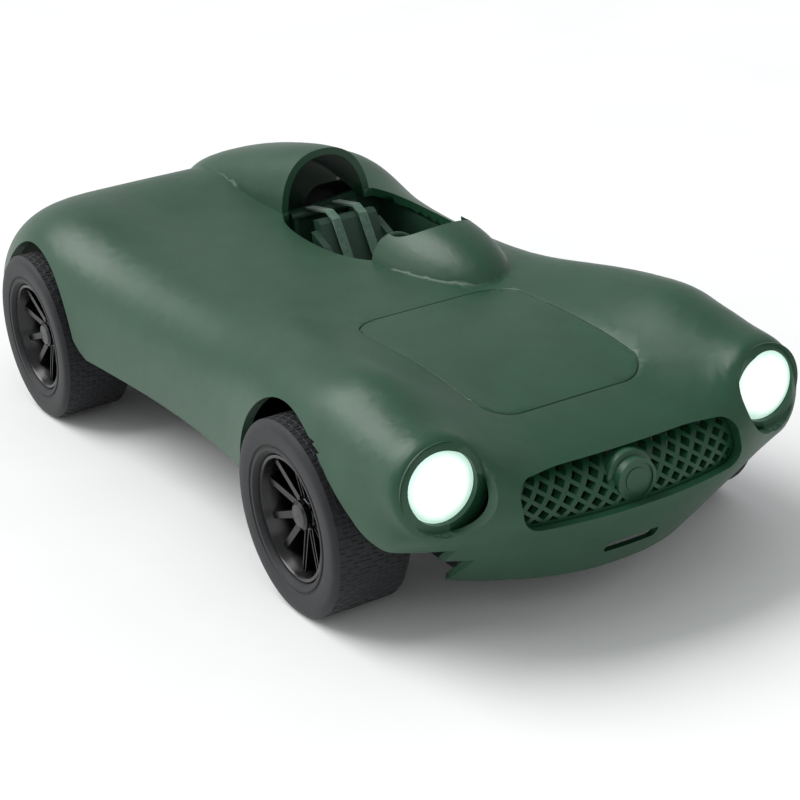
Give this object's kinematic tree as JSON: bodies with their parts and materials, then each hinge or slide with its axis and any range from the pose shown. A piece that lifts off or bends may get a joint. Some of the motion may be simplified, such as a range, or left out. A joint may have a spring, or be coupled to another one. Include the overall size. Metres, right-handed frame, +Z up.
{
  "type": "toy roadster car",
  "caption": "Rechargeable toy roadster with an offset single-seat cockpit, teardrop headrest, round lit headlamps, steering front wheels and a geared rear axle.",
  "frame": {"origin": "on the floor plane, under the middle of the car's length and width", "axes": "+X forward, from tail to nose; +Y to the car's left, the driver's side; +Z up"},
  "size_m": [0.263, 0.118, 0.0688],
  "materials": {
    "shell_green": "satin soft-touch moulding",
    "valance_green": "satin moulding",
    "tray_black": "fine textured moulding",
    "cabin_green": "matte moulding",
    "tyre_rubber": "matte rubber",
    "rim_black": "gloss moulding",
    "lens_clear": "clear polycarbonate, polished",
    "lamp_white": "bright reflector",
    "lamp_red": "clear red moulding",
    "steel": "plain steel",
    "gear_white": "natural acetal",
    "motor_steel": "plated can",
    "battery_wrap": "shrink sleeve",
    "board_green": "solder mask",
    "brass": "plain brass",
    "belt_grey": "woven"
  },
  "bodies": {
    "car_body": {"axle_carrier_left": "tray_black", "axle_carrier_right": "tray_black", "badge": "shell_green", "battery_door": "tray_black", "battery_door_screw": "steel", "battery_pack": "battery_wrap", "body_screws": "steel", "body_shell": "shell_green", "charge_port": "steel", "chassis_tray": "tray_black", "circuit_board": "board_green", "cockpit_tub": "cabin_green", "dashboard": "cabin_green", "drive_motor": "motor_steel", "front_axle_beam": "tray_black", "gear_lever": "cabin_green", "gearbox_plate_left": "tray_black", "gearbox_plate_right": "tray_black", "grille_insert": "shell_green", "harness_bar": "cabin_green", "headlight_led_left": "lamp_white", "headlight_led_right": "lamp_white", "headlight_lens_left": "lens_clear", "headlight_lens_right": "lens_clear", "headlight_reflector_left": "lamp_white", "headlight_reflector_right": "lamp_white", "kingpin_left": "steel", "kingpin_right": "steel", "power_switch_case": "tray_black", "rear_valance": "valance_green", "seat": "cabin_green", "seat_belts": "belt_grey", "servo_case": "tray_black", "steering_wheel": "cabin_green", "tail_lamp_left": "lamp_red", "tail_lamp_right": "lamp_red"},
    "rear_wheels": {"rear_axle_shaft": "steel", "axle_gear": "gear_white", "tyre_rear_left": "tyre_rubber", "tyre_rear_right": "tyre_rubber", "rim_rear_left": "rim_black", "rim_rear_right": "rim_black", "wheel_cap_rear_left": "rim_black", "wheel_cap_rear_right": "rim_black"},
    "idler": {"idler_gear": "gear_white"},
    "motor_rotor": {"motor_pinion": "brass"},
    "steer_left": {"knuckle_left": "tray_black"},
    "steer_right": {"knuckle_right": "tray_black"},
    "front_left_wheel": {"tyre_front_left": "tyre_rubber", "rim_front_left": "rim_black", "wheel_cap_front_left": "rim_black"},
    "front_right_wheel": {"tyre_front_right": "tyre_rubber", "rim_front_right": "rim_black", "wheel_cap_front_right": "rim_black"},
    "link": {"tie_rod": "tray_black"},
    "horn": {"servo_horn": "tray_black"},
    "switch_knob": {"power_switch_slider": "tray_black"}
  },
  "joints": [
    {"name": "rear_axle", "type": "hinge", "parent": "car_body", "child": "rear_wheels", "pos_m": [-0.078, 0, 0.0235], "axis": [0, 1, 0], "continuous": true},
    {"name": "idler_spin", "type": "hinge", "parent": "car_body", "child": "idler", "pos_m": [-0.06407, 0, 0.02857], "axis": [0, 1, 0], "continuous": true},
    {"name": "motor_spin", "type": "hinge", "parent": "car_body", "child": "motor_rotor", "pos_m": [-0.05503, 0, 0.02528], "axis": [0, 1, 0], "continuous": true},
    {"name": "steer_left", "type": "hinge", "parent": "car_body", "child": "steer_left", "pos_m": [0.074, 0.034, 0.0235], "axis": [0, 0, 1], "range_deg": [-18, 18]},
    {"name": "steer_right", "type": "hinge", "parent": "car_body", "child": "steer_right", "pos_m": [0.074, -0.034, 0.0235], "axis": [0, 0, 1], "range_deg": [-18, 18]},
    {"name": "servo_horn", "type": "hinge", "parent": "car_body", "child": "horn", "pos_m": [0.054, 0, 0.0235], "axis": [0, 0, 1], "range_deg": [-18, 18]},
    {"name": "tie_rod", "type": "slide", "parent": "car_body", "child": "link", "axis": [0, 1, 0], "range_m": [-0.0032, 0.0032]},
    {"name": "front_left_spin", "type": "hinge", "parent": "steer_left", "child": "front_left_wheel", "pos_m": [0.074, 0.049, 0.0235], "axis": [0, 1, 0], "continuous": true},
    {"name": "front_right_spin", "type": "hinge", "parent": "steer_right", "child": "front_right_wheel", "pos_m": [0.074, -0.049, 0.0235], "axis": [0, 1, 0], "continuous": true},
    {"name": "power_switch", "type": "slide", "parent": "car_body", "child": "switch_knob", "axis": [1, 0, 0], "range_m": [0, 0.003]}
  ],
  "couplings": [
    {"joint": "idler_spin", "follows": "rear_axle", "ratio": -2.5},
    {"joint": "motor_spin", "follows": "rear_axle", "ratio": 7},
    {"joint": "steer_right", "follows": "steer_left", "ratio": 1},
    {"joint": "servo_horn", "follows": "steer_left", "ratio": -1},
    {"joint": "tie_rod", "follows": "steer_left", "m_per_rad": -0.0099}
  ]
}
